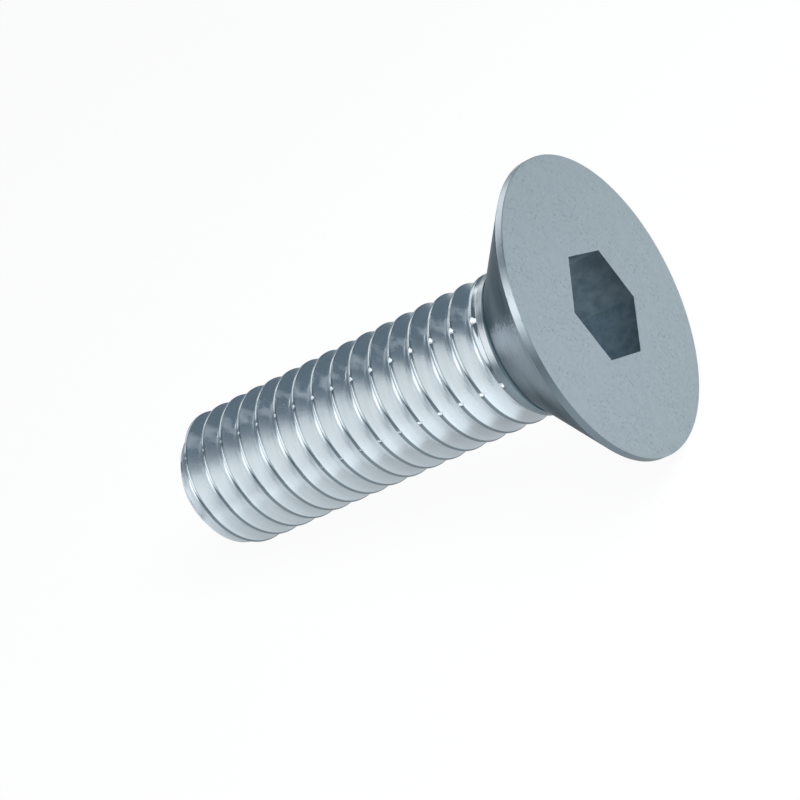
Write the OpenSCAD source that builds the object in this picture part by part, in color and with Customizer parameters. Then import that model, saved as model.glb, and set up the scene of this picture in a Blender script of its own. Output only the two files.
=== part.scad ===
// Countersunk screw with a hexagon socket and a full-length metric thread.
// The screw is drawn along its own axis, tip at the bottom, and then laid down
// on its side as it comes to rest: on the rim of the head and on one thread crest.

/* [Length] */
// Length of the screw, from the flat face of the head to the tip
length = 20; // [12:0.5:30]

/* [Head] */
// Diameter of the head
head_d = 12; // [11:0.1:13]
// Height of the plain rim round the head
rim_h = 0.3; // [0.2:0.05:0.6]
// Angle between the two sides of the countersunk cone
cone_angle = 90; // [80:1:100]
// Radius of the fillet where the cone meets the neck
fillet_r = 0.25; // [0.1:0.05:0.4]

/* [Socket] */
// Width of the hexagon socket across its flats
socket_af = 4.03; // [3.5:0.01:4.5]
// Depth of the hexagon's flat sides
socket_depth = 2.5; // [1.8:0.1:2.8]
// Angle between the two sides of the cone that ends the socket
socket_point_angle = 120; // [110:5:150]

/* [Neck] */
// Diameter of the plain neck, which the crests just fail to reach
neck_d = 5.94; // [5.93:0.01:6.4]
// Length of the plain neck between the cone and the thread
neck_h = 0.37; // [0.25:0.01:1]

/* [Thread] */
// Diameter over the thread crests
thread_d = 5.91; // [5.8:0.01:5.92]
// Advance of the thread in one turn
pitch = 1; // [0.75:0.05:1.25]
// Angle between the two flanks of a thread groove
flank_angle = 60; // [55:1:60]
// Width of the flat on a crest
crest_w = 0.18; // [0.1:0.01:0.2]
// Depth of the groove below the crests
groove_depth = 0.57; // [0.3:0.01:0.6]
// Height of the first crest above the tip, along the line that the screw lies on
first_crest = 0.44; // [0.2:0.01:0.9]
// Turns of thread over which the groove fades out at the neck
runout_turns = 0.8; // [0.5:0.1:1.5]

/* [Tip] */
// Diameter of the flat end face
tip_d = 4.4; // [3.8:0.1:4.6]
// Angle of the end chamfer, measured from the screw's axis
chamfer_angle = 45; // [30:5:45]

/* [Hidden] */

// Straight facets round one turn of the thread
thread_sides = 40;
round_fn = 96;
// How far the cutting shapes and hidden ends reach past what they cut or join
overlap = 1;

head_r = head_d / 2;
neck_r = neck_d / 2;
thread_r = thread_d / 2;
tip_r = tip_d / 2;

// Heights along the screw's own axis, from the tip upwards
rim_z = length - rim_h;
cone_z = rim_z - (head_r - neck_r) / tan(cone_angle / 2);
neck_z = cone_z - neck_h;

// One pitch of the thread outline, as [height above the crest's lower edge, share of the full depth]
flank_w = groove_depth * tan(flank_angle / 2);
thread_outline = [
    [0, 0],
    [crest_w, 0],
    [crest_w + flank_w, 1],
    [pitch - flank_w, 1]
];
outline_count = len(thread_outline);
groove_mid = (crest_w + pitch) / 2;

// Whole turns that carry the thread from below the tip to inside the neck and head
turns_below = ceil(first_crest / pitch) + 1;
thread_z0 = first_crest - crest_w / 2 - turns_below * pitch;
turns = ceil((neck_z - thread_z0) / pitch) + 1;
row_count = turns * outline_count;

// How the screw lies: the lower edge of the rim and the lower edge of the first whole crest touch the floor
chamfer_top_z = (thread_r - tip_r) / tan(chamfer_angle);
whole_crest_turn = ceil((chamfer_top_z - first_crest + crest_w / 2) / pitch);
contact_z = first_crest - crest_w / 2 + whole_crest_turn * pitch;
rest_tilt = atan((head_r - thread_r) / (rim_z - contact_z));
axis_lift = head_r * cos(rest_tilt) - rim_z * sin(rest_tilt);
front_x = length * cos(rest_tilt) + head_r * sin(rest_tilt);
back_x = -tip_r * sin(rest_tilt);
centre_x = (front_x + back_x) / 2;

// Share of the groove's full depth that is left at a height along the run-out
function groove_share(groove_z) =
    max(0, min(1, (cone_z - groove_z) / (runout_turns * pitch)));

// A point of the thread surface: rows climb the outline, steps go once round the screw
function thread_point(row, step) =
    let(
        place = thread_outline[row % outline_count],
        turn_z = thread_z0 + (floor(row / outline_count) + step / thread_sides) * pitch,
        r = thread_r - groove_depth * place[1] * groove_share(turn_z + groove_mid),
        angle = 360 * step / thread_sides
    )
    [r * cos(angle), r * sin(angle), turn_z + place[0]];

// A full turn ends on the row one pitch up, where the next turn starts
function point_index(row, step) =
    step < thread_sides
        ? row < row_count + 1
            ? row * thread_sides + step
            : (row_count + 1) * thread_sides + row - row_count - 1
        : point_index(row + outline_count, 0);

module thread() {
    wall_points = [
        for (row = [0 : row_count], step = [0 : thread_sides - 1]) thread_point(row, step)
    ];
    seam_points = [
        for (row = [row_count + 1 : row_count + outline_count]) thread_point(row, 0)
    ];
    end_points = [
        [0, 0, thread_z0 + pitch / 2],
        [0, 0, thread_z0 + (turns + 0.5) * pitch]
    ];
    low_end = len(wall_points) + len(seam_points);
    high_end = low_end + 1;

    wall_faces = [
        for (row = [0 : row_count - 1], step = [0 : thread_sides - 1], half = [0, 1])
            half == 0
                ? [point_index(row, step), point_index(row + 1, step), point_index(row + 1, step + 1)]
                : [point_index(row, step), point_index(row + 1, step + 1), point_index(row, step + 1)]
    ];
    // The two ends are fans from a point on the axis to the open spiral edge
    low_fan = [
        for (step = [0 : thread_sides - 1])
            [low_end, point_index(0, step), point_index(0, step + 1)],
        for (row = [0 : outline_count - 1])
            [low_end, point_index(row + 1, 0), point_index(row, 0)]
    ];
    high_fan = [
        for (step = [0 : thread_sides - 1])
            [high_end, point_index(row_count, step + 1), point_index(row_count, step)],
        for (row = [row_count : row_count + outline_count - 1])
            [high_end, point_index(row, 0), point_index(row + 1, 0)]
    ];
    polyhedron(
        points = concat(wall_points, seam_points, end_points),
        faces = concat(wall_faces, low_fan, high_fan)
    );
}

// Everything that the end chamfer and the flat end face leave standing
module tip_envelope() {
    wide_r = thread_r + overlap;
    wide_z = (wide_r - tip_r) / tan(chamfer_angle);
    top_z = thread_z0 + (turns + 1) * pitch + overlap;
    rotate_extrude($fn = round_fn)
        polygon([[0, 0], [tip_r, 0], [wide_r, wide_z], [wide_r, top_z], [0, top_z]]);
}

// Round outline of the head and neck, with the fillet between cone and neck
module head_outline() {
    bend = cone_angle / 2;
    reach = fillet_r * tan(bend / 2);
    polygon([
        [0, neck_z], [neck_r, neck_z], [neck_r, cone_z],
        [head_r, rim_z], [head_r, length], [0, length]
    ]);
    difference() {
        polygon([
            [neck_r, cone_z], [neck_r, cone_z - reach],
            [neck_r + reach * sin(bend), cone_z + reach * cos(bend)]
        ]);
        translate([neck_r + fillet_r, cone_z - reach])
            circle(r = fillet_r, $fn = round_fn);
    }
}

module socket() {
    point_h = socket_af / 2 / tan(socket_point_angle / 2);
    floor_z = length - socket_depth;
    translate([0, 0, floor_z])
        cylinder(d = socket_af / cos(30), h = socket_depth + overlap, $fn = 6);
    translate([0, 0, floor_z - point_h])
        cylinder(r1 = 0, r2 = socket_af / 2, h = point_h, $fn = round_fn);
}

module upright_screw() {
    difference() {
        union() {
            rotate_extrude($fn = round_fn) head_outline();
            intersection() {
                thread();
                tip_envelope();
            }
        }
        socket();
    }
}

module screw() {
    color([0.62, 0.67, 0.70])
        translate([-centre_x, 0, axis_lift])
            rotate([0, 90 - rest_tilt, 0])
                upright_screw();
}

screw();
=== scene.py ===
# %% [markdown]
# # A countersunk socket screw
#
# The real screw is one piece of steel. A length of wire is headed in a die, which gives the cone and
# the flat face, a punch presses the hexagon socket, and two flat dies roll the thread. Then it is
# plated with zinc. So the model is one closed surface too: it starts in the middle of the tip, climbs
# round the thread, runs over the cone and the face, and goes down into the socket.
#
# The packed model is the fixed frame. It says where the screw lies and how big it is, and the finer
# surface made here takes its place exactly.

import bmesh
import bpy
import numpy as np
from mathutils import Matrix, Vector


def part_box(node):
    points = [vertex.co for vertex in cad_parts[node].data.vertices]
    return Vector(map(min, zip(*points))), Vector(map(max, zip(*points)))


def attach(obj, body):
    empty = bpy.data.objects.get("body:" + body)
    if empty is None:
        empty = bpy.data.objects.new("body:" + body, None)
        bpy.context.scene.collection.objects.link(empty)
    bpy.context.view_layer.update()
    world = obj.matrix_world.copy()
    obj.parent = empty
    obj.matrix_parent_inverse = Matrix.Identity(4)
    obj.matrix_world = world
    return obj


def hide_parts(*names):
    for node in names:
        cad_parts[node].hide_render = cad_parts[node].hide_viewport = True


MM = 0.001
NODE = "screw"

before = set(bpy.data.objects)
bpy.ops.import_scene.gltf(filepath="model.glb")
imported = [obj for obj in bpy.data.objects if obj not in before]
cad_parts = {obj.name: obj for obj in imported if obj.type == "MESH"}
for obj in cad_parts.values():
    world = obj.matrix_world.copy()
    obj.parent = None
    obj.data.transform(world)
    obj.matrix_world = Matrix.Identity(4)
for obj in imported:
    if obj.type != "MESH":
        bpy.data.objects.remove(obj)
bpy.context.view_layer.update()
low, high = (np.array(corner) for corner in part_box(NODE))
print("nodes in the frame:", len(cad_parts), " box, mm:", np.round((high - low) / MM, 3))

# %% [markdown]
# ## How the screw lies
#
# It is easiest to work the screw out standing on its tip, with its axis upright. On a table it rolls
# onto its side, on the rim of the head and on one crest of the thread, so its axis is tilted by the
# angle between those two points. The packed solid's crest is a little wider than the one made here,
# and it is the packed one that decides the tilt. Every point is worked out upright, in millimetres,
# and turned last.

# %% The driving sizes, in millimetres
LENGTH = 20.0
HEAD_R = 6.0
RIM_H = 0.3
THREAD_R = 2.955
PITCH = 1.0
FIRST_CREST = 0.46
CREST_W = 0.12
# Height of the lower edge of the packed solid's first crest
PACKED_CREST_EDGE = 0.35
CHAMFER = np.radians(45)
TIP_R = 2.2

rim_z = LENGTH - RIM_H
# The lowest whole crest is the first one above the end chamfer
chamfer_top = (THREAD_R - TIP_R) / np.tan(CHAMFER)
turns_up = np.ceil((chamfer_top - PACKED_CREST_EDGE) / PITCH)
contact_z = PACKED_CREST_EDGE + PITCH * turns_up
tilt = np.arctan((HEAD_R - THREAD_R) / (rim_z - contact_z))
axis_lift = HEAD_R * np.cos(tilt) - rim_z * np.sin(tilt)
middle_x = (LENGTH * np.cos(tilt) + HEAD_R * np.sin(tilt) - TIP_R * np.sin(tilt)) / 2
print("tilt of the axis, degrees:", round(float(np.degrees(tilt)), 3))


def laid(upright):
    """Turns upright points, in mm, into their place in the frame, in metres.

    Upright x, which points at the table, goes down, and upright z, the axis, goes towards +X
    and rises by the tilt: a turn about Y by 90 degrees less the tilt, then a shift.
    """
    x, y, z = np.moveaxis(np.asarray(upright, float), -1, 0)
    along = np.sin(tilt) * x + np.cos(tilt) * z - middle_x
    height = np.sin(tilt) * z - np.cos(tilt) * x + axis_lift
    return np.stack([along, y, height], axis=-1) * MM


# %% [markdown]
# ## The camera
#
# The photograph looks down on the head from the right, with the screw running back to the left, and
# the camera is rolled so that the screw rises to the right. It could be aimed at an empty with a
# constraint, but a place, a target and a roll say the same in three numbers each. They come from a
# fit to the outline of the head, the tip and the thread.

# %% Camera, places in millimetres
CAMERA_AT = (42.203, -64.863, 42.408)
LOOKS_AT = (-0.223, -0.094, 4.389)
ROLL = np.radians(31.295)
LENS = 99.311
SENSOR = 36.0
# The nearest and farthest things it sees, in metres
SEES_FROM, SEES_TO = 0.001, 10


def camera_turn(place, target, roll):
    """A camera's rotation: it looks from place to target and is rolled clockwise about that line."""
    level = (Vector(target) - Vector(place)).to_track_quat("-Z", "Y").to_matrix()
    return level @ Matrix.Rotation(-roll, 3, "Z")


camera = bpy.data.objects.new("camera", bpy.data.cameras.new("camera"))
bpy.context.scene.collection.objects.link(camera)
aim = camera_turn(CAMERA_AT, LOOKS_AT, ROLL).to_4x4()
camera.matrix_world = Matrix.Translation(Vector(CAMERA_AT) * MM) @ aim
camera.data.lens = LENS
camera.data.sensor_width = SENSOR
camera.data.clip_start = SEES_FROM
camera.data.clip_end = SEES_TO
bpy.context.scene.camera = camera
face_to_lens = np.linalg.norm(np.array(CAMERA_AT) - laid((0, 0, LENGTH)) / MM)
print("middle of the face to the lens, mm:", round(float(face_to_lens), 1))

# %% [markdown]
# ## The thread
#
# A rolled metric thread is a 60 degree ridge wound round the shank, with a narrow flat crest and a
# round root. It could be made by sweeping the ridge's section along a helix, but then the run-out and
# the end chamfer need cutting tools. Here the thread is a height field instead: one formula gives the
# distance from the axis for any height and any angle, and the grid's rows climb with the helix, so
# every edge of the ridge runs along a row and stays sharp.

# %% One section of the thread
# Half the angle between two flanks
FLANK = np.radians(30)
GROOVE_DEPTH = 0.57
CREST_ROUND = 0.06

# Where the crest's rounded corner begins and ends, along the axis from the middle of the crest
corner_from = CREST_W / 2 - CREST_ROUND * np.tan(FLANK)
corner_to = corner_from + CREST_ROUND * np.cos(FLANK)
# The two flanks would meet at this radius; the root arc touches both and its bottom is the core
vertex_r = THREAD_R - (PITCH - CREST_W) / 2 / np.tan(FLANK)
root_round = (THREAD_R - GROOVE_DEPTH) - vertex_r
root_half = root_round * np.cos(FLANK)
print("root radius, mm:", round(float(root_round), 3))


def section_radius(away):
    """Radius of the ridge at a distance away from its crest's middle, from 0 to half a pitch.

    A flat crest, a corner arc, a straight flank that falls at 60 degrees, and a root arc:
    each arc is its centre's radius plus or minus the height of a circle over the distance.
    """
    flank = THREAD_R - (away - CREST_W / 2) / np.tan(FLANK)
    corner_rise = np.sqrt(np.maximum(CREST_ROUND**2 - (away - corner_from) ** 2, 0))
    corner = THREAD_R - CREST_ROUND + corner_rise
    root_rise = np.sqrt(np.maximum(root_round**2 - (PITCH / 2 - away) ** 2, 0))
    root = vertex_r + 2 * root_round - root_rise
    zones = [away < corner_from, away < corner_to, away < PITCH / 2 - root_half]
    return np.select(zones, [np.full_like(away, THREAD_R), corner, flank], root)


# %% [markdown]
# ## The nicks
#
# A rolled crest is thin, and screws knock against each other in their box. The photographed one has
# two lines of small bright nicks, one in every turn, which shrink towards the tip. They could be a
# bump in the material, but a real notch catches the light on one side and is dark on the other, so
# each is cut into the height field as a groove with a gentle and a steep side.

# %% Nicks in the crests
# Angles are round the axis, from straight down
NICK_ANGLES = np.radians([213.6, 266.8])
NICK_HALF = np.radians(3.1)
NICK_DEPTH = 0.093
# How far a nick turns round the screw over one pitch
NICK_LEAN = np.radians(4)
# Where a nick is deepest, from -1 to 1 across it
NICK_DEEPEST = np.array([0.33, -0.33])
# Turns are counted from this many below the first crest, where the tip cuts them off
TURNS_BELOW = 2
NICK_TURNS = 19
# Size of the nick nearest the tip, and how unevenly all of them come out, as shares of the largest
SMALLEST_NICK = 0.25
UNEVEN = (0.85, 1.0)
NICK_SEED = 5

nick_sizes = np.random.default_rng(NICK_SEED).uniform(*UNEVEN, (len(NICK_ANGLES), NICK_TURNS))
nick_sizes *= SMALLEST_NICK + (1 - SMALLEST_NICK) * np.linspace(0, 1, NICK_TURNS) ** 2
print("largest nick, mm deep:", round(float(nick_sizes.max() * NICK_DEPTH), 3))


def nick_depth(z, angle):
    """Depth of the nicks: each is a notch with one steep and one gentle side that runs slanting
    over its crest, and the turns nearer the tip have smaller copies of it."""
    turns = (z - FIRST_CREST) / PITCH - angle / (2 * np.pi)
    turn = np.clip(np.round(turns).astype(int) + TURNS_BELOW, 0, NICK_TURNS - 1)
    slant = (turns - np.round(turns)) * NICK_LEAN
    size = nick_sizes[:, turn]
    across = np.clip((angle - slant - NICK_ANGLES[:, None, None]) / (NICK_HALF * size), -1, 1)
    deepest = NICK_DEEPEST[:, None, None]
    notch = np.minimum((across + 1) / (deepest + 1), (1 - across) / (1 - deepest))
    return (NICK_DEPTH * size * notch).sum(axis=0)


# %% [markdown]
# ## The ends of the thread
#
# At the tip the thread is cut by a 45 degree chamfer, which helps it to start in its hole. At the
# head the dies can't reach the last turn, so the groove fades out over most of a turn and a plain
# neck is left, a trace wider than the crests. A smaller-of and a larger-of would join these shapes
# with sharp edges, so both are softened a little, as a rolled and plated edge is.

# %% The radius of the shank, anywhere
NECK_R = 2.97
NECK_H = 0.37
RUNOUT_TURNS = 0.8
EDGE_BLEND = 0.03
# Slope of the neck's lower edge, from the flat across the axis
NECK_EDGE = np.radians(60)

cone_z = rim_z - (HEAD_R - NECK_R)
neck_z = cone_z - NECK_H
# The shank's grid and the head's meet in the middle of the neck
join_z = neck_z + NECK_H / 2
print("neck from, to, mm above the tip:", round(neck_z, 3), round(cone_z, 3))


def softer_least(a, b, width):
    """The smaller of two values, with the corner between them rounded: their mean less half the
    root of their difference squared plus width squared."""
    return (a + b - np.sqrt((a - b) ** 2 + width**2)) / 2


def shank_radius(z, angle):
    """Distance of the surface from the axis, at a height and an angle round it.

    The ridge's section, read at the height above the helix, fades towards the crest near the
    head. The chamfer's cone cuts it at the tip, and the neck fills it above its lower edge.
    """
    above = z - FIRST_CREST - PITCH * angle / (2 * np.pi)
    away = np.abs((above + PITCH / 2) % PITCH - PITCH / 2)
    groove_z = z + np.where((above % PITCH) < PITCH / 2, 1, -1) * (PITCH / 2 - away)
    share = np.clip((cone_z - groove_z) / (RUNOUT_TURNS * PITCH), 0, 1)
    ridge = THREAD_R - (THREAD_R - section_radius(away)) * share
    ridge = np.minimum(ridge, THREAD_R - nick_depth(z, angle))
    neck = NECK_R + np.minimum(z - neck_z, 0) * np.tan(NECK_EDGE)
    body = -softer_least(-ridge, -neck, EDGE_BLEND)
    return softer_least(body, TIP_R + z * np.tan(CHAMFER), EDGE_BLEND)


# %% [markdown]
# ## Rows and columns
#
# The columns are steps round the screw. Their number is a multiple of six, so that the socket's
# corners fall on columns, and more of them stand close together at the nicks. Within one pitch the
# rows crowd together where the section bends and spread out along its straight flanks. Rows that
# would climb past the tip or the neck are stopped there, and the points that meet are merged
# afterwards.

# %% Columns and the rows of one pitch
COLUMNS = 120
# Columns at each nick, and how far they reach, as a share of its half width
NICK_COLUMNS = 13
NICK_REACH = 1.4
# Angles that agree to this many digits are one column
ANGLE_DIGITS = 6
CORNER_BENDS = np.radians([15, 30, 45, 60])
ROOT_BENDS = np.radians([60, 48, 36, 24, 12, 0])
FLANK_ROWS = 6
FLANK_MARGIN = 0.015

even_angles = np.linspace(0, 2 * np.pi, COLUMNS + 1)
close_angles = NICK_ANGLES[:, None] + NICK_HALF * np.linspace(-NICK_REACH, NICK_REACH, NICK_COLUMNS)
round_angles = np.unique(np.round(np.concatenate([even_angles, close_angles.ravel()]), ANGLE_DIGITS))
round_angles[-1] = 2 * np.pi


def pitch_rows():
    """Heights of the rows within one pitch, from the crest's middle: half a pitch, mirrored."""
    corner = corner_from + CREST_ROUND * np.sin(CORNER_BENDS)
    flank = np.linspace(corner_to + FLANK_MARGIN, PITCH / 2 - root_half - FLANK_MARGIN, FLANK_ROWS)
    root = PITCH / 2 - root_round * np.sin(ROOT_BENDS)
    half = np.concatenate([[0, corner_from], corner, flank, root])
    return np.concatenate([half, PITCH - half[-2:0:-1]])


print("columns:", len(round_angles), " rows in a pitch:", len(pitch_rows()))

# %% Grid of the shank
# The rows are level instead of climbing from this far below the neck
LEVEL_BELOW = 0.45
LEVEL_ROWS = 44

level_z = neck_z - LEVEL_BELOW


def shank_grid():
    """Points of the shank: row heights climb by one pitch per turn, and near the neck, where the
    thread fades out into a level ring, close level rows take over."""
    pitches = np.arange(-TURNS_BELOW, int(np.ceil(level_z / PITCH)) + 1)
    starts = (FIRST_CREST + pitches[:, None] * PITCH + pitch_rows()[None, :]).ravel()
    climb = PITCH * round_angles / (2 * np.pi)
    climbing = np.clip(starts[:, None] + climb[None, :], 0, level_z)
    level = np.linspace(level_z, join_z, LEVEL_ROWS)[1:, None] + 0 * climb[None, :]
    z = np.concatenate([climbing, level])
    radius = shank_radius(z, round_angles[None, :])
    radius[z >= join_z] = NECK_R
    return np.stack([radius * np.cos(round_angles), radius * np.sin(round_angles), z], axis=-1)


shank = shank_grid()
print("shank grid, rows and columns:", shank.shape[:2])

# %% [markdown]
# ## The head
#
# The head is turned about the axis, so it is a profile carried round a circle. A real edge is never
# perfectly sharp: each corner of the profile gets a small arc, which catches a thin line of light.
# A Bevel modifier could do that, but here the arcs are points of the profile and cost nothing more.

# %% Profile of the head
FILLET_R = 0.25
EDGE_R = 0.015
FILLET_POINTS, LOWER_POINTS, UPPER_POINTS = 9, 5, 6
CONE_POINTS, RIM_POINTS = 14, 5


def corner_arc(before, corner, after, radius, steps):
    """Points of the arc that rounds a corner: both lines are left at the same distance from it,
    radius times the tangent of half the turn, and the arc runs round the centre between them."""
    before, corner, after = (np.array(p, float) for p in (before, corner, after))
    way_in = (corner - before) / np.linalg.norm(corner - before)
    way_out = (after - corner) / np.linalg.norm(after - corner)
    cross = way_in[0] * way_out[1] - way_in[1] * way_out[0]
    turn_by = np.arctan2(cross, way_in @ way_out)
    side = np.sign(turn_by) * np.array([-way_in[1], way_in[0]])
    start = corner - way_in * radius * np.tan(abs(turn_by) / 2)
    centre = start + side * radius
    swing = np.linspace(0, turn_by, steps)
    spoke = start - centre
    x = spoke[0] * np.cos(swing) - spoke[1] * np.sin(swing)
    y = spoke[0] * np.sin(swing) + spoke[1] * np.cos(swing)
    return centre + np.stack([x, y], axis=-1)


def head_profile():
    """Radius and height from the neck to the edge of the face, with every corner rounded, and the
    number of points before the middle of the rim's lower edge."""
    neck, foot = (NECK_R, join_z), (NECK_R, cone_z)
    wide, top, middle = (HEAD_R, rim_z), (HEAD_R, LENGTH), (0, LENGTH)
    fillet = corner_arc(neck, foot, wide, FILLET_R, FILLET_POINTS)
    lower = corner_arc(foot, wide, top, EDGE_R, LOWER_POINTS)
    upper = corner_arc(wide, top, middle, EDGE_R, UPPER_POINTS)
    cone = np.linspace(fillet[-1], lower[0], CONE_POINTS)[1:-1]
    rim = np.linspace(lower[-1], upper[0], RIM_POINTS)[1:-1]
    points = np.concatenate([fillet, cone, lower, rim, upper])
    return points, len(fillet) + len(cone) + len(lower) // 2


def turned(profile):
    """Carries a profile of radius and height round the axis."""
    radius, z = profile[:, :1], profile[:, 1:]
    x, y = radius * np.cos(round_angles), radius * np.sin(round_angles)
    return np.stack([x, y, np.broadcast_to(z, x.shape)], axis=-1)


head_line, cone_rows = head_profile()
head = turned(head_line)
print("head profile, points:", len(head))

# %% [markdown]
# ## The face, the socket and the tip
#
# A hexagon is a circle whose radius swells towards its corners: half its width across the flats,
# divided by the cosine of the angle from the middle of the nearest flat. Rings that blend from the
# round edge to that hexagon fill the flat face. The same hexagon, carried down, is the socket's wall,
# and a blunt cone, left by the punch, closes it. A boolean cut would give the same shape with long
# thin triangles, which shade badly.

# %% Rings of the face, the socket and the tip
SOCKET_AF = 4.03
SOCKET_DEPTH = 2.5
SOCKET_POINT = np.radians(120)
MOUTH_R = 0.02
MOUTH_BENDS = np.radians([22.5, 45, 67.5, 90])
# Shares of the way from the round edge to the hexagon
FACE_SHARES = np.array([0.01, 0.1, 0.25, 0.4, 0.55, 0.7, 0.85, 0.97, 1.0])
WALL_DEPTHS = np.array([0.06, 0.5, 1.0, 1.5, 2.0, 2.44, SOCKET_DEPTH])
# Shares of the distance from the axis to a flat
POINT_SHARES = np.array([0.985, 0.75, 0.5, 0.25, 0.0])
TIP_MARGIN = 0.1


def hexagon(apothem):
    """Radius of a hexagon at every column, for one or more distances from its middle to a flat."""
    from_flat = round_angles % (np.pi / 3) - np.pi / 6
    return np.atleast_1d(apothem)[:, None] / np.cos(from_flat)


def rings(radius, z):
    """Rings with a radius for every row and column, at one height for each row."""
    x, y = radius * np.cos(round_angles), radius * np.sin(round_angles)
    return np.stack([x, y, np.broadcast_to(np.reshape(z, (-1, 1)), x.shape)], axis=-1)


def face_rings():
    """The flat face: each ring is a share of the way from the round edge to the hexagon."""
    share = FACE_SHARES[:, None]
    outer, inner = HEAD_R - EDGE_R, hexagon(SOCKET_AF / 2 + MOUTH_R)
    return rings((1 - share) * outer + share * inner, np.full(len(share), LENGTH))


def socket_rings():
    """The socket: a rounded mouth, the wall, and a cone down to a point on the axis."""
    mouth = hexagon(SOCKET_AF / 2 + MOUTH_R * (1 - np.sin(MOUTH_BENDS)))
    mouth_z = LENGTH - MOUTH_R * (1 - np.cos(MOUTH_BENDS))
    wall = np.repeat(hexagon(SOCKET_AF / 2), len(WALL_DEPTHS), axis=0)
    cone_r = POINT_SHARES * SOCKET_AF / 2
    fall = (SOCKET_AF / 2 - cone_r) / np.tan(SOCKET_POINT / 2)
    cone = np.repeat(cone_r[:, None], len(round_angles), axis=1)
    walls = rings(wall, LENGTH - WALL_DEPTHS)
    point = rings(cone, LENGTH - SOCKET_DEPTH - fall)
    return np.concatenate([rings(mouth, mouth_z), walls, point])


tip = turned(np.array([[0, 0], [TIP_R / 2, 0], [TIP_R - TIP_MARGIN, 0]]))
face, socket = face_rings(), socket_rings()
print("rings of tip, face and socket:", len(tip), len(face), len(socket))

# %% [markdown]
# ## One closed surface
#
# All the rings stand in one grid, from the middle of the tip to the bottom of the socket. Each cell
# becomes a face. Where the grid meets itself, at the seam and where rows were stopped, the points are
# merged, and cells that have shrunk to nothing go with them. What is left must be closed, and it must
# hold nearly the packed solid's volume: the narrower crests make it about one percent less.

# %% Build the mesh
FINISHES = ["thread", "cone", "face", "socket", "rim"]
MERGE_WITHIN = 1e-7
SHARP_FROM = np.radians(50)


def screw_mesh():
    """One mesh of the whole grid, with a finish number on every face."""
    parts = [
        (tip, "thread"), (shank, "thread"), (head[:1], "thread"), (head[1:cone_rows], "cone"),
        (head[cone_rows:], "rim"), (face, "face"), (socket, "socket"),
    ]
    grid = np.concatenate([points for points, name in parts])
    finish = np.concatenate([np.full(len(points), FINISHES.index(name)) for points, name in parts])
    rows, columns = grid.shape[:2]
    first = (np.arange(rows - 1)[:, None] * columns + np.arange(columns - 1)[None, :]).ravel()
    cells = np.stack([first, first + 1, first + columns + 1, first + columns], axis=-1)
    mesh = bpy.data.meshes.new("zinc_plated_screw")
    mesh.from_pydata(laid(grid.reshape(-1, 3)), [], cells.tolist())
    mesh.polygons.foreach_set("material_index", np.repeat(finish[1:], columns - 1))
    mesh.polygons.foreach_set("use_smooth", np.ones(len(cells), bool))
    return mesh


def merged(mesh):
    """Merges points that lie together, in place. Gives the number of open edges that are left, and
    the volume in mm3: the sum of the signed tetrahedra from the origin to every triangle."""
    work = bmesh.new()
    work.from_mesh(mesh)
    bmesh.ops.remove_doubles(work, verts=work.verts, dist=MERGE_WITHIN)
    open_count = sum(1 for edge in work.edges if len(edge.link_faces) != 2)
    held = work.calc_volume(signed=True) / MM**3
    work.to_mesh(mesh)
    work.free()
    return open_count, held


screw_surface = screw_mesh()
open_edges, volume = merged(screw_surface)
screw_surface.set_sharp_from_angle(angle=SHARP_FROM)
screw = bpy.data.objects.new("plated_screw", screw_surface)
bpy.context.scene.collection.objects.link(screw)
triangles = sum(len(p.vertices) - 2 for p in screw_surface.polygons)
print("open edges:", open_edges, " volume, mm3:", round(volume, 2), " triangles:", triangles)

# %% [markdown]
# ## Zinc
#
# The whole screw is plated with zinc and passivated, which gives a bright metal with a pale blue
# cast. The finishes differ by how each place was made, so there is one material for each of them.
# Every node takes several lines to make and connect. They could be set up by hand in the editor, but
# a short call for each kind of node keeps a whole finish readable in one function.

# %% Colours of the zinc
ZINC = (0.64, 0.70, 0.74)
# Darker zinc for the painted shade on the lower side
LOWER_SHADE_ZINC = (0.2, 0.25, 0.28)
# Darker zinc of the crests, painted shade; the rim's worn spots use it too
CREST_ZINC = (0.42, 0.475, 0.51)
# The middle of the side with painted shade, the lower side, in degrees round its axis from straight
# down
LOWER_SHADE_SIDE = -60
# Sockets of a Mix node for colours
MIX_FIRST, MIX_SECOND, MIX_RESULT = 6, 7, 2


def shade(colour, factor):
    """A colour times a factor."""
    return tuple(factor * part for part in colour)


print("brightness of a crest, as a share of a flank's:", round(CREST_ZINC[1] / ZINC[1], 2))

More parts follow.
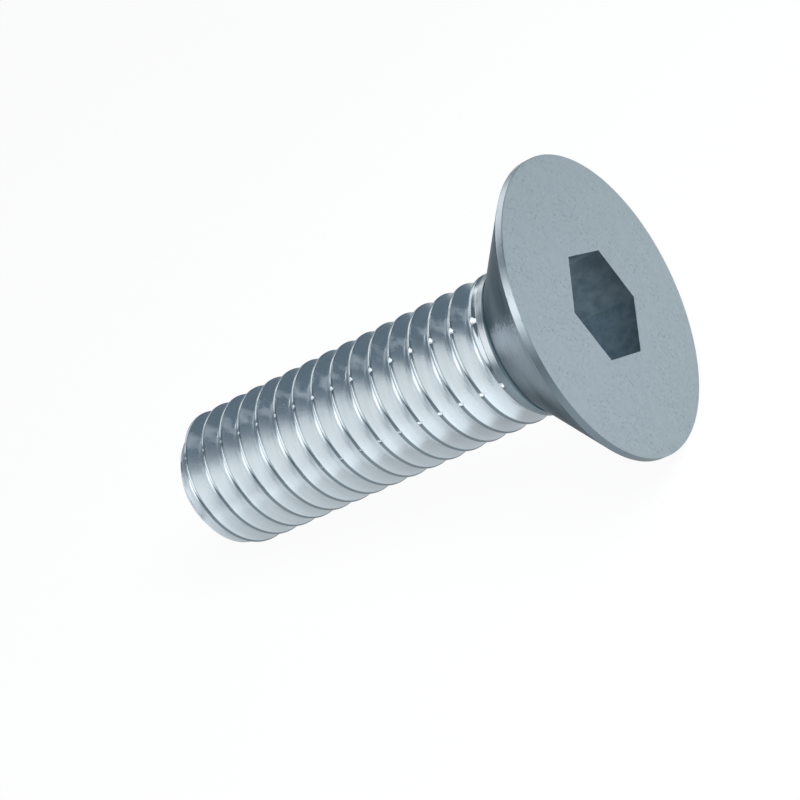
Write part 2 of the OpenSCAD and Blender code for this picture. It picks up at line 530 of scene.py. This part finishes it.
# %% Arithmetic with nodes
class NodeTools:
    """Short calls for the nodes that work with numbers and colours."""

    def __init__(self, tree):
        self.nodes, self.links = tree.nodes, tree.links

    def maths(self, operation, first, second):
        """One step of arithmetic on two sockets or numbers."""
        node = self.nodes.new("ShaderNodeMath")
        node.operation = operation
        for number, value in enumerate((first, second)):
            if isinstance(value, (int, float)):
                node.inputs[number].default_value = value
            else:
                self.links.new(value, node.inputs[number])
        return node.outputs[0]

    def total(self, first, *others):
        """Sockets and numbers added up."""
        for other in others:
            first = self.maths("ADD", first, other)
        return first

    def product(self, first, *others):
        """Sockets and numbers multiplied together."""
        for other in others:
            first = self.maths("MULTIPLY", first, other)
        return first

    def span(self, value, limits, to=(0.0, 1.0), smooth=False):
        """Moves a value from one range to another, in a straight or an S-shaped line, and holds it
        at the ends."""
        node = self.nodes.new("ShaderNodeMapRange")
        node.interpolation_type = "SMOOTHSTEP" if smooth else "LINEAR"
        for key, number in zip(("From Min", "From Max", "To Min", "To Max"), (*limits, *to)):
            node.inputs[key].default_value = number
        self.links.new(value, node.inputs["Value"])
        return node.outputs["Result"]

    def blend(self, share, first, second, mode="MIX"):
        """Mixes two colours by a share: each is a colour or a socket."""
        node = self.nodes.new("ShaderNodeMix")
        node.data_type = "RGBA"
        node.blend_type = mode
        if isinstance(share, (int, float)):
            node.inputs["Factor"].default_value = share
        else:
            self.links.new(share, node.inputs["Factor"])
        for number, colour in ((MIX_FIRST, first), (MIX_SECOND, second)):
            if isinstance(colour, tuple):
                node.inputs[number].default_value = (*colour, 1)
            else:
                self.links.new(colour, node.inputs[number])
        return node.outputs[MIX_RESULT]

    def times(self, colour, factor):
        """A colour socket times a grey or coloured factor."""
        return self.blend(1.0, colour, factor, "MULTIPLY")


print("for numbers and colours:", [name for name in vars(NodeTools) if name[0] != "_"])

# %% [markdown]
# ## Places on the screw
#
# Rings, smears and worn crests follow the screw's own axis. A Mapping node undoes the lie of the
# screw: it turns the place of a point back to upright millimetres, where the distance from the axis
# and the angle round it are easy to work out. A UV map could do that too, but it would need a seam.

# %% Places and noise
class PlaceTools(NodeTools):
    """Short calls for the nodes that measure places on the screw, and for noise."""

    def __init__(self, tree):
        super().__init__(tree)
        self.place = self.upright_place()

    def upright_place(self):
        """Upright millimetres from Object coordinates: scaled, turned back about Y and shifted."""
        mapping = self.nodes.new("ShaderNodeMapping")
        mapping.inputs["Scale"].default_value = (1 / MM, 1 / MM, 1 / MM)
        mapping.inputs["Rotation"].default_value = (0, tilt - np.pi / 2, 0)
        shift_x = np.sin(tilt) * middle_x + np.cos(tilt) * axis_lift
        shift_z = np.cos(tilt) * middle_x - np.sin(tilt) * axis_lift
        mapping.inputs["Location"].default_value = (shift_x, 0, shift_z)
        where = self.nodes.new("ShaderNodeTexCoord")
        self.links.new(where.outputs["Object"], mapping.inputs["Vector"])
        return mapping.outputs["Vector"]

    def stretched(self, factors, shift=(0, 0, 0)):
        """The upright place times a factor for each axis, and shifted."""
        node = self.nodes.new("ShaderNodeMapping")
        node.inputs["Scale"].default_value = factors
        node.inputs["Location"].default_value = shift
        self.links.new(self.place, node.inputs["Vector"])
        return node.outputs["Vector"]

    def noise(self, vector, scale=1.0, detail=2.0, roughness=0.5):
        """Cloudy noise from 0 to 1, at so many clouds to a unit."""
        node = self.nodes.new("ShaderNodeTexNoise")
        node.inputs["Scale"].default_value = scale
        node.inputs["Detail"].default_value = detail
        node.inputs["Roughness"].default_value = roughness
        self.links.new(vector, node.inputs["Vector"])
        return node.outputs["Fac"]

    def part(self, axis):
        """One part of the upright place: X, Y or Z."""
        node = self.nodes.new("ShaderNodeSeparateXYZ")
        self.links.new(self.place, node.inputs[0])
        return node.outputs[axis]

    def distance(self):
        """Distance from the screw's axis: the length of the place without its height."""
        flat = self.nodes.new("ShaderNodeVectorMath")
        flat.operation = "MULTIPLY"
        flat.inputs[1].default_value = (1, 1, 0)
        self.links.new(self.place, flat.inputs[0])
        length = self.nodes.new("ShaderNodeVectorMath")
        length.operation = "LENGTH"
        self.links.new(flat.outputs[0], length.inputs[0])
        return length.outputs["Value"]

    def facing(self, degrees, away):
        """Cosine of the angle, round the axis, between a place and a direction in degrees: their
        dot product over the distance from the axis."""
        node = self.nodes.new("ShaderNodeVectorMath")
        node.operation = "DOT_PRODUCT"
        self.links.new(self.place, node.inputs[0])
        node.inputs[1].default_value = (np.cos(np.radians(degrees)), np.sin(np.radians(degrees)), 0)
        return self.maths("DIVIDE", node.outputs["Value"], away)


print("for places and noise:", [name for name in vars(PlaceTools) if name[0] != "_"])

# %% [markdown]
# ## One finish
#
# Metal shows little but what it mirrors. Its colour tints the mirror image and its roughness blurs
# it. A mix of a glossy and a diffuse shader could be tuned by eye, but the Principled shader with
# Metallic at 1 has both settings. What is the same all over is set on the shader itself, and only
# what changes from place to place is fed by nodes.

# %% A finish
class Finish(PlaceTools):
    """One zinc finish: a material with a metal shader, and the tools that feed it."""

    def __init__(self, name, colour, roughness):
        self.material = bpy.data.materials.new(name)
        self.material.use_nodes = True
        super().__init__(self.material.node_tree)
        self.shader = self.nodes["Principled BSDF"]
        self.shader.inputs["Base Color"].default_value = (*colour, 1)
        self.shader.inputs["Metallic"].default_value = 1
        self.shader.inputs["Roughness"].default_value = roughness

    def feed(self, name, value):
        """Connects a socket to one of the shader's inputs."""
        self.links.new(value, self.shader.inputs[name])

    def glance(self, tint):
        """The metal's colour at a glancing angle, which is white unless it is set."""
        self.shader.inputs["Specular Tint"].default_value = (*tint, 1)

    def bump(self, height, distance, strength=1.0):
        """Small relief from a height, with its distance in millimetres."""
        node = self.nodes.new("ShaderNodeBump")
        node.inputs["Strength"].default_value = strength
        node.inputs["Distance"].default_value = distance * MM
        self.links.new(height, node.inputs["Height"])
        self.feed("Normal", node.outputs["Normal"])

    def done(self):
        """Says what was made and gives the material."""
        print(self.material.name, "has", len(self.nodes), "nodes")
        return self.material


print("for the shader:", [name for name in vars(Finish) if name[0] != "_"])

# %% [markdown]
# ## The thread's finish
#
# Dies rolled the thread, so its flanks are smooth and bright, with faint lines round the axis and
# soft clouds. The crests and the neck are painted darker, as painted shade, and darker still on the
# lower side, where the roots also get painted shade and the tops of the flanks a painted highlight.
# One turn after another has a scuffed patch at the same place, and the neck is a little rougher.
# It could be painted on by hand, but the distance from the axis, the height and the angle round it
# already say what is a crest, a root or the neck, and they stay right if a size changes.

# %% Thread
THREAD_ROUGH, ROOT_ROUGH = 0.23, 0.3
# Distances from the axis between which the change to a crest, to the root and up a flank comes in
CREST_FADE = (THREAD_R - 0.045, THREAD_R - 0.02)
ROOT_FADE = (THREAD_R - GROOVE_DEPTH + 0.2, THREAD_R - GROOVE_DEPTH + 0.05)
FLANK_CLIMB = (THREAD_R - GROOVE_DEPTH + 0.1, THREAD_R - 0.06)
# Heights between which the neck begins
NECK_FADE = (neck_z - 0.02, neck_z + 0.01)
# Faint lines round the axis: noise squeezed along it, and the two shades that it blends
LINES, LINE_NOISE = (0.25, 0.25, 9), {"detail": 3}
LINE_LIMITS, LINE_SHADES = (0.3, 0.7), (0.94, 1.03)
CLOUDS, CLOUD_NOISE, CLOUD_BUMP = (1, 1, 0.6), {"scale": 0.9}, 0.012
# Where the painted shade of the lower side fades in
LOWER_SHADE_FADE = (0.48, 0.78)
# Painted shade in the root and a painted highlight at the top of a flank, on the lower side
ROOT_SHADE_AND_SHEEN = (-0.09, 0.13)
# The neck's painted shade: its tone on the upper side and on the lower side
NECK_BRIGHT, NECK_LOWER_SHADE = 0.66, 1.1
# Scuffs: the middle of their side in degrees, and the noise that breaks them up
SCUFF_SIDE, SCUFF_FADE = -163, (0.985, 0.998)
SCUFF_NOISE, SCUFF_LIMITS = {"scale": 1.6, "detail": 3}, (0.4, 0.6)
SCUFF_ROUGH, NECK_ROUGH, CREST_SMOOTH = 0.3, 0.12, 0.04


def rolled_colour(finish, away, neck, lower_shade):
    """Bright flanks with faint lines, and crests and neck painted darker as shade, each with more
    painted shade on its lower side.
    """
    lines = finish.span(finish.noise(finish.stretched(LINES), **LINE_NOISE), LINE_LIMITS)
    bright = finish.blend(lines, *(shade(ZINC, factor) for factor in LINE_SHADES))
    # On the lower side the root gets painted shade and the top of a flank a painted highlight
    climb = finish.span(away, FLANK_CLIMB, ROOT_SHADE_AND_SHEEN)
    bright = finish.times(bright, finish.total(finish.product(climb, lower_shade), 1.0))
    # Crests and neck are painted darker, painted shade, and darker still on the lower side
    crest_colour = finish.blend(lower_shade, CREST_ZINC, LOWER_SHADE_ZINC)
    neck_colour = finish.blend(lower_shade, shade(ZINC, NECK_BRIGHT), shade(LOWER_SHADE_ZINC, NECK_LOWER_SHADE))
    crest_colour = finish.blend(neck, crest_colour, neck_colour)
    return finish.blend(finish.span(away, CREST_FADE), bright, crest_colour)


def rolled_roughness(finish, away, neck):
    """The flanks' roughness, plus more for the root, the scuffs and the neck, less for a crest."""
    patches = finish.span(finish.noise(finish.place, **SCUFF_NOISE), SCUFF_LIMITS)
    scuffed = finish.product(finish.span(finish.facing(SCUFF_SIDE, away), SCUFF_FADE), patches)
    return finish.total(
        finish.span(away, ROOT_FADE, (THREAD_ROUGH, ROOT_ROUGH)),
        finish.product(scuffed, SCUFF_ROUGH),
        finish.product(neck, NECK_ROUGH),
        finish.span(away, CREST_FADE, (0, -CREST_SMOOTH)),
    )


def thread_finish():
    """The rolled thread: its colour, its roughness and soft clouds in its relief."""
    finish = Finish("rolled_zinc", ZINC, THREAD_ROUGH)
    away = finish.distance()
    neck = finish.span(finish.part("Z"), NECK_FADE)
    # Share of the painted shade on the lower side
    lower_shade = finish.span(finish.facing(LOWER_SHADE_SIDE, away), LOWER_SHADE_FADE, smooth=True)
    finish.feed("Base Color", rolled_colour(finish, away, neck, lower_shade))
    finish.feed("Roughness", rolled_roughness(finish, away, neck))
    finish.bump(finish.noise(finish.stretched(CLOUDS), **CLOUD_NOISE), CLOUD_BUMP)
    return finish.done()


coats = {"thread": thread_finish()}

# %% [markdown]
# ## The cone's finish
#
# The cone was formed in a die. It is painted darker than the thread, as painted shade, with soft
# clouds and a fine grain. A pale band with a ragged, hairy edge is painted on one side of it, a
# painted reflection. The band lies between two angles round the axis: noise that is added to the
# angle frays its edge, a slant lets it run askew up the cone, and painted shade darkens it beside the
# neck. The dark line at the fillet is painted shade too. A painted image would need a UV map and
# pixels, and nodes give as sharp an edge at any size.

# %% Cone
CONE_ROUGH = 0.3
# The cone's colour at a glancing angle, kept dark as painted shade
CONE_GLANCE = (0.2, 0.24, 0.27)
# Each pattern: how it is squeezed along the axes, its noise, and the range of the noise that counts
GRAIN, GRAIN_NOISE = (4, 4, 8), {"scale": 1.2, "detail": 6, "roughness": 0.75}
GRAIN_LIMITS, GRAIN_SHADES = (0.3, 0.7), ((0.9, 0.9, 0.9), (1.1, 1.1, 1.1))
BROAD, BROAD_SHIFT, BROAD_NOISE = (0.35, 0.35, 0.8), (3, 1, 0), {"detail": 3}
# The cone's darker tones, blended by clouds: painted shade
DARK_LIMITS, DARK_SHADES = (0.35, 0.65), (0.36, 0.6)
HAIRS, HAIR_NOISE = (6, 6, 3), {"detail": 5, "roughness": 0.7}
HAIR_LIMITS, HAIR_REACH = (0.3, 0.7), (-0.07, 0.07)
# The pale band, a painted reflection: the side that its edge is measured from, its middle
# and its brightest line, in degrees
EDGE_SIDE, SHEEN_SIDE, BRIGHT_SIDE = -37, -116, -124
EDGE_FADE, SHEEN_FADE = (-0.04, 0.06), (0.86, 0.96)
BRIGHT_FADE, BRIGHT_SHARE = (0.975, 0.998), (0.62, 1.05)
# The edge's slant over a stretch of the cone, and the part of the pale band with painted shade beside
# the neck
SLANT_OVER, SLANT = (3.6, 5.6), (0.05, -0.06)
SHADED_OVER, SHADED_SHARE, SHADED_SIDE = (3.4, 4.3), (0.6, 0.0), (0.12, 0.26)
THIN_LIMITS, THIN_SHARE = (0.3, 0.6), (0.6, 1.0)
SHEEN_TONE = 1.25
# The fillet at the neck: how far out on the cone its painted shade line fades, and its colour
FILLET_FADE = (NECK_R + 0.05, NECK_R + 0.3)
FILLET_SHADE_COLOUR = (0.14, 0.185, 0.21)


def sheen_band_share(finish, away, clouds):
    """Share of the pale band, a painted reflection: a product of one span for each of its edges and
    for its fading.
    """
    side = finish.facing(EDGE_SIDE, away)
    slant = finish.span(away, SLANT_OVER, SLANT)
    hairs = finish.span(finish.noise(finish.stretched(HAIRS), **HAIR_NOISE), HAIR_LIMITS, HAIR_REACH)
    edge = finish.total(side, slant, hairs)
    beside_neck = finish.span(away, SHADED_OVER, SHADED_SHARE)
    shaded = finish.product(beside_neck, finish.span(side, SHADED_SIDE))
    return finish.product(
        finish.span(edge, EDGE_FADE),
        finish.span(finish.facing(SHEEN_SIDE, away), SHEEN_FADE, smooth=True),
        finish.span(finish.facing(BRIGHT_SIDE, away), BRIGHT_FADE, BRIGHT_SHARE),
        finish.maths("SUBTRACT", 1.0, shaded),
        finish.span(away, FILLET_FADE),
        finish.span(clouds, THIN_LIMITS, THIN_SHARE),
    )


def cone_finish():
    """Metal painted darker as shade, with a fine grain, broad clouds and a painted reflection band."""
    finish = Finish("ringed_zinc", shade(ZINC, DARK_SHADES[0]), CONE_ROUGH)
    finish.glance(CONE_GLANCE)
    away = finish.distance()
    clouds = finish.noise(finish.stretched(BROAD, BROAD_SHIFT), **BROAD_NOISE)
    dark_shades = (shade(ZINC, factor) for factor in DARK_SHADES)
    dark = finish.blend(finish.span(clouds, DARK_LIMITS), *dark_shades)
    # The pale band is a painted reflection
    colour = finish.blend(sheen_band_share(finish, away, clouds), dark, shade(ZINC, SHEEN_TONE))
    # Painted shade in the fillet at the neck
    colour = finish.blend(finish.span(away, FILLET_FADE), FILLET_SHADE_COLOUR, colour)
    grain = finish.noise(finish.stretched(GRAIN), **GRAIN_NOISE)
    grain_shade = finish.blend(finish.span(grain, GRAIN_LIMITS), *GRAIN_SHADES)
    finish.feed("Base Color", finish.times(colour, grain_shade))
    return finish.done()


coats["cone"] = cone_finish()

# %% [markdown]
# ## The rim's finish
#
# The plain rim is what a screw rolls on, so it is bright, with small worn spots. It could share the
# thread's finish, but the painted shade on its lower side has an edge of its own, and it has spots in
# place of lines.

# %% Rim
RIM_ROUGH = 0.33
SPOT_NOISE = {"scale": 2.5, "detail": 4, "roughness": 0.65}
SPOT_LIMITS, SPOT_SHADES = (0.36, 0.44), (0.8, 1.05)
# Where the painted shade on the lower side fades in, and how dark it is
RIM_LOWER_SHADE_FADE, RIM_LOWER_SHADE = (0.38, 0.6), 0.92


def rim_finish():
    """The plain rim: bright, with small worn spots, and painted shade on its lower side."""
    finish = Finish("rim_zinc", ZINC, RIM_ROUGH)
    spots = finish.span(finish.noise(finish.place, **SPOT_NOISE), SPOT_LIMITS)
    worn = finish.blend(spots, *(shade(CREST_ZINC, factor) for factor in SPOT_SHADES))
    # Painted shade on the lower side
    lower_shade = finish.span(finish.facing(LOWER_SHADE_SIDE, finish.distance()), RIM_LOWER_SHADE_FADE, smooth=True)
    finish.feed("Base Color", finish.blend(lower_shade, worn, shade(LOWER_SHADE_ZINC, RIM_LOWER_SHADE)))
    return finish.done()


coats["rim"] = rim_finish()

# %% [markdown]
# ## The face's finish
#
# The face was pressed flat and is matt. Up close it has small dark and light specks, the dark ones
# in loose clusters. Each speck could be a small shape of its own, but fine noise does it at once: its
# highest and lowest values are the specks, and the dark ones are kept where a broader noise is high.

# %% Face
FACE_ROUGH = 0.42
FACE_ZINC = ((0.342, 0.403, 0.436), (0.37, 0.431, 0.463))
FACE_NOISE, FACE_LIMITS = {"scale": 2.2, "detail": 3}, (0.3, 0.7)
SPECK_NOISE = {"scale": 7.0, "detail": 4, "roughness": 0.65}
CLUSTER_NOISE, CLUSTER_LIMITS = {"scale": 0.8, "detail": 3}, (0.3, 0.6)
DARK_SPECKS, DARK_FROM, DARK_SHARE = (0.23, 0.28, 0.305), (0.54, 0.66), 0.9
LIGHT_SPECKS, LIGHT_FROM, LIGHT_SHARE = (0.47, 0.53, 0.56), (0.4, 0.3), 0.6
# The face is painted a little brighter at the top than at the table, painted light
FACE_SLOPE = (1.06, 0.95)


def face_finish():
    """Matt pressed face, with small dark and light specks in loose clusters."""
    finish = Finish("matt_zinc", FACE_ZINC[0], FACE_ROUGH)
    clusters = finish.span(finish.noise(finish.place, **CLUSTER_NOISE), CLUSTER_LIMITS)
    specks = finish.noise(finish.place, **SPECK_NOISE)
    dark = finish.product(finish.span(specks, DARK_FROM), clusters, DARK_SHARE)
    light = finish.product(finish.span(specks, LIGHT_FROM), LIGHT_SHARE)
    clouds = finish.span(finish.noise(finish.place, **FACE_NOISE), FACE_LIMITS)
    base = finish.blend(clouds, *FACE_ZINC)
    base = finish.blend(dark, base, DARK_SPECKS)
    base = finish.blend(light, base, LIGHT_SPECKS)
    # Painted light: brighter at the top, darker towards the table
    slope = finish.span(finish.part("X"), (-HEAD_R, HEAD_R), FACE_SLOPE)
    finish.feed("Base Color", finish.times(base, slope))
    return finish.done()


coats["face"] = face_finish()

# %% [markdown]
# ## The socket's finish
#
# The punch leaves the socket's walls matt and mottled, and they are painted dark, painted shade for
# the deep recess. Soft boxes could be moved until they light the walls this way, but they would change
# the thread too. So the shades are in the colour: the walls darken towards the mouth, and the lower
# wall on the far side is lighter.

# %% Socket
SOCKET_ROUGH = 0.8
SOCKET_GLANCE = (0.08, 0.1, 0.12)
# Dark zinc of the walls, painted shade for the recess
SOCKET_ZINC = ((0.1, 0.143, 0.168), (0.147, 0.195, 0.222))
MOTTLE_NOISE = {"scale": 2.2, "detail": 4, "roughness": 0.6}
MOTTLE_LIMITS = (0.35, 0.65)
# Factors for the colour, painted shade and light: deep inside and at the mouth, then off and on the
# lighter wall, which is named by the angle of its middle
DEEP_OVER, DEEP_SHARE = (LENGTH - 1.8, LENGTH), (1.55, 0.8)
LIGHT_WALL, LIGHT_WALL_FADE, LIGHT_WALL_SHARE = 30, (0.862, 0.87), (1, 1.3)


def socket_finish():
    """Matt punched walls, mottled, and painted dark as shade."""
    finish = Finish("punched_zinc", SOCKET_ZINC[0], SOCKET_ROUGH)
    finish.glance(SOCKET_GLANCE)
    mottle = finish.noise(finish.place, **MOTTLE_NOISE)
    base = finish.blend(finish.span(mottle, MOTTLE_LIMITS), *SOCKET_ZINC)
    deeper = finish.span(finish.part("Z"), DEEP_OVER, DEEP_SHARE)
    towards_wall = finish.facing(LIGHT_WALL, finish.distance())
    lighter = finish.span(towards_wall, LIGHT_WALL_FADE, LIGHT_WALL_SHARE)
    finish.feed("Base Color", finish.times(base, finish.product(deeper, lighter)))
    return finish.done()


coats["socket"] = socket_finish()

# %% [markdown]
# ## Plating
#
# Each face of the mesh already has the number of its finish, so the materials only need to be added
# in that order. Five objects with one material each would do too, but they would not close into one
# surface. The photographed thread shows no mirror images of its own ridges. A rougher metal would
# hide them, but it would blur the bands of light as well, so the screw isn't traced in reflections.

# %% Plate the screw
for coat in FINISHES:
    screw_surface.materials.append(coats[coat])
screw.visible_glossy = False
print("coats:", [material.name for material in screw_surface.materials])

# %% [markdown]
# ## The floor
#
# The screw lies on white paper that has no end. Paper that is lit to pure white would wash out the
# metal, so the floor is white by its own colour where the camera looks at it, and keeps only a little
# of its true shading, which is the screw's soft shadow. It shows at less than half of white in the
# metal, because the photographed metal mirrors a greyer surround than the white that is behind it.

# %% Floor
FLOOR_REACH = 3.0
PAPER = (0.9, 0.9, 0.9, 1)
# Share of the paper's own white that each kind of ray finds
OWN_WHITE = {"Is Camera Ray": 0.95, "Is Glossy Ray": 0.47, "Is Transmission Ray": 0.5}


def white_paper():
    """Paper that is partly white of its own and partly lit: the share of white is the sum of the
    rays' shares, each counted only for its own kind of ray, and held at one."""
    paper = bpy.data.materials.new("white_paper")
    paper.use_nodes = True
    nodes, links = paper.node_tree.nodes, paper.node_tree.links
    nodes.clear()
    output, mix = nodes.new("ShaderNodeOutputMaterial"), nodes.new("ShaderNodeMixShader")
    lit_paper, own_white = nodes.new("ShaderNodeBsdfDiffuse"), nodes.new("ShaderNodeEmission")
    lit_paper.inputs["Color"].default_value = PAPER
    rays = nodes.new("ShaderNodeLightPath")
    white_share = None
    for kind, share in OWN_WHITE.items():
        step = nodes.new("ShaderNodeMath")
        step.operation = "MULTIPLY_ADD"
        step.use_clamp = True
        step.inputs[1].default_value = share
        step.inputs[2].default_value = 0
        links.new(rays.outputs[kind], step.inputs[0])
        if white_share is not None:
            links.new(white_share, step.inputs[2])
        white_share = step.outputs[0]
    links.new(white_share, mix.inputs["Fac"])
    links.new(lit_paper.outputs[0], mix.inputs[1])
    links.new(own_white.outputs[0], mix.inputs[2])
    links.new(mix.outputs[0], output.inputs["Surface"])
    return paper


floor_mesh = bpy.data.meshes.new("floor")
ends = ((-1, -1), (1, -1), (1, 1), (-1, 1))
floor_mesh.from_pydata([(x * FLOOR_REACH, y * FLOOR_REACH, 0) for x, y in ends], [], [(0, 1, 2, 3)])
floor_mesh.materials.append(white_paper())
floor = bpy.data.objects.new("floor", floor_mesh)
bpy.context.scene.collection.objects.link(floor)
print("floor, m wide:", 2 * FLOOR_REACH)

# %% [markdown]
# ## The light
#
# Bright metal shows what is round it. A few lamps in the usual places would leave it black between
# them, so each soft box is placed for what it does in the metal: a very large one near the camera, one
# on the left in front and one on the left behind for the bands along the thread, a low one beyond the
# tip, one beside the face, and a small high one for the glint on the cone. Only the one beside the
# face lights the floor as well, which has a lamp of its own that the metal doesn't see. The air round
# them is a dim blue grey in the metal, and white to the camera.

# %% World
SURROUND = (0.155, 0.208, 0.25, 1)
WHITE = (1, 1, 1, 1)

world = bpy.data.worlds.new("studio")
bpy.context.scene.world = world
world.use_nodes = True
air = world.node_tree
surround = air.nodes.new("ShaderNodeMix")
surround.data_type = "RGBA"
surround.inputs[MIX_FIRST].default_value = SURROUND
surround.inputs[MIX_SECOND].default_value = WHITE
air_rays = air.nodes.new("ShaderNodeLightPath")
air.links.new(air_rays.outputs["Is Camera Ray"], surround.inputs["Factor"])
air.links.new(surround.outputs[MIX_RESULT], air.nodes["Background"].inputs["Color"])
print("surround in the metal:", SURROUND[:3])

# %% Lamps
LAMP_DISTANCE = 150
WARM, FAINTLY_WARM, COOL = (1, 0.962, 0.93), (1, 0.97, 0.94), (0.96, 1, 1.02)
FLOOR_LAMP_HEIGHT, FLOOR_LAMP_X = 62, 45


def softbox(name, azimuth, elevation, size, radiance, distance=LAMP_DISTANCE, in_metal=True,
            on_floor=False, tint=(1, 1, 1)):
    """A flat lamp that faces the screw: its power is radiance times pi times its area.

    Angles are in degrees and lengths in millimetres.
    """
    lamp = bpy.data.lights.new(name, "AREA")
    lamp.shape = "RECTANGLE"
    lamp.color = tint
    lamp.size, lamp.size_y = size[0] * MM, size[1] * MM
    lamp.energy = radiance * np.pi * lamp.size * lamp.size_y
    azimuth, elevation = np.radians(azimuth), np.radians(elevation)
    level = np.cos(elevation)
    towards = Vector((np.cos(azimuth) * level, np.sin(azimuth) * level, np.sin(elevation)))
    facing_screw = towards.to_track_quat("Z", "Y").to_matrix().to_4x4()
    item = bpy.data.objects.new(name, lamp)
    item.matrix_world = Matrix.Translation(towards * distance * MM) @ facing_screw
    item.visible_camera = False
    item.visible_glossy = in_metal
    item.visible_diffuse = on_floor
    bpy.context.scene.collection.objects.link(item)
    print("lamp", name, "watts:", round(lamp.energy, 4))
    return item


softbox("head_side", azimuth=3, elevation=16, size=(104, 98), radiance=0.83, on_floor=True, tint=WARM)
softbox("front_left", azimuth=231, elevation=33, size=(150, 108), radiance=1.75, tint=FAINTLY_WARM)
softbox("back_left", azimuth=137, elevation=39, size=(150, 95), radiance=1.35, tint=FAINTLY_WARM)
softbox("front", azimuth=306, elevation=36, size=(240, 175), radiance=0.75)
softbox("tip_side", azimuth=187, elevation=8, size=(90, 60), radiance=0.6)
softbox("glint", azimuth=52, elevation=52, size=(40, 34), radiance=1.6)
floor_light = softbox("floor_light", azimuth=0, elevation=90, size=(90, 90), radiance=3.4,
                      distance=FLOOR_LAMP_HEIGHT, in_metal=False, on_floor=True, tint=COOL)
floor_light.location.x = FLOOR_LAMP_X * MM

bpy.context.scene.view_settings.view_transform = "Standard"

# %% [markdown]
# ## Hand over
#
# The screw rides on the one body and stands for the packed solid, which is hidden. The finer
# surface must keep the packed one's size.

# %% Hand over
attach(screw, "root")
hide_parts(NODE)
